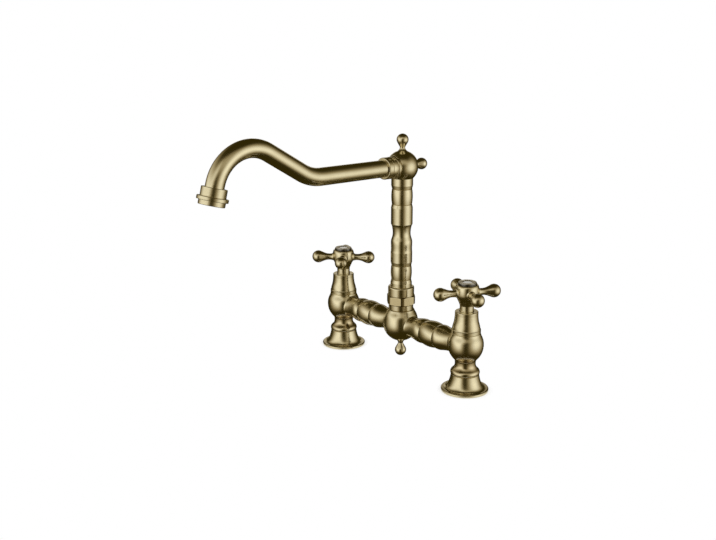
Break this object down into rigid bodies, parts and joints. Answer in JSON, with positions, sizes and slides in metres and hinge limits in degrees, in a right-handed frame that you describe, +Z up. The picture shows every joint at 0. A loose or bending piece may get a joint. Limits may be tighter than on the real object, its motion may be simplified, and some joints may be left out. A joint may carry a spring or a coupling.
{
  "type": "bridge kitchen faucet",
  "caption": "Bridge kitchen faucet in aged brass: cross handles on pillars, a beaded bridge, a turned riser column and a curved swivel spout.",
  "frame": {"origin": "on the deck, midway between the two pillars and their inlet holes", "axes": "+X along the bridge towards the cold pillar, +Y away from the user, so the spout points along -Y, +Z up"},
  "size_m": [0.2629, 0.2959, 0.2787],
  "materials": {
    "antique_brass": "satin, aged and lacquered",
    "plain_brass": "as machined",
    "satin_nickel_ring": "satin",
    "white_enamel": "smooth",
    "rubber": "matt",
    "ceramic_disc": "lapped",
    "stainless_steel": "plain",
    "white_plastic": "moulded"
  },
  "bodies": {
    "bridge": {"arm_o_rings_left": "rubber", "arm_o_rings_right": "rubber", "base_flange_left": "antique_brass", "base_flange_right": "antique_brass", "bonnet_left": "antique_brass", "bonnet_right": "antique_brass", "bottom_finial": "antique_brass", "bridge_arm_left": "antique_brass", "bridge_arm_right": "antique_brass", "centre_body": "antique_brass", "deck_seal_left": "rubber", "deck_seal_right": "rubber", "fixed_disc_left": "ceramic_disc", "fixed_disc_right": "ceramic_disc", "pillar_body_left": "antique_brass", "pillar_body_right": "antique_brass", "seat_seal_left": "rubber", "seat_seal_right": "rubber", "swivel_bush": "white_plastic", "swivel_nut": "antique_brass", "valve_body_left": "plain_brass", "valve_body_right": "plain_brass", "valve_washer_left": "rubber", "valve_washer_right": "rubber"},
    "handle_left": {"cross_handle_left": "antique_brass", "handle_screw_left": "stainless_steel", "index_bezel_left": "satin_nickel_ring", "index_disc_left": "white_enamel", "moving_disc_left": "ceramic_disc", "spindle_clip_left": "stainless_steel", "spindle_left": "plain_brass", "spindle_o_rings_left": "rubber"},
    "handle_right": {"cross_handle_right": "antique_brass", "handle_screw_right": "stainless_steel", "index_bezel_right": "satin_nickel_ring", "index_disc_right": "white_enamel", "moving_disc_right": "ceramic_disc", "spindle_clip_right": "stainless_steel", "spindle_o_rings_right": "rubber", "spindle_right": "plain_brass"},
    "spout": {"aerator_housing": "antique_brass", "aerator_insert": "white_plastic", "aerator_screen": "stainless_steel", "aerator_washer": "rubber", "column_o_rings": "rubber", "head_washer": "rubber", "nozzle_collar": "antique_brass", "rear_finial": "antique_brass", "riser_column": "antique_brass", "spout_collar": "antique_brass", "spout_head": "antique_brass", "spout_tube": "antique_brass", "top_finial": "antique_brass"}
  },
  "joints": [
    {"name": "hot_handle_turn", "type": "hinge", "parent": "bridge", "child": "handle_left", "pos_m": [-0.1, 0, 0.08], "axis": [0, 0, 1], "range_deg": [0, 90]},
    {"name": "cold_handle_turn", "type": "hinge", "parent": "bridge", "child": "handle_right", "pos_m": [0.1, 0, 0.08], "axis": [0, 0, 1], "range_deg": [-90, 0]},
    {"name": "spout_swivel", "type": "hinge", "parent": "bridge", "child": "spout", "pos_m": [0, 0, 0.089], "axis": [0, 0, 1], "continuous": true}
  ]
}
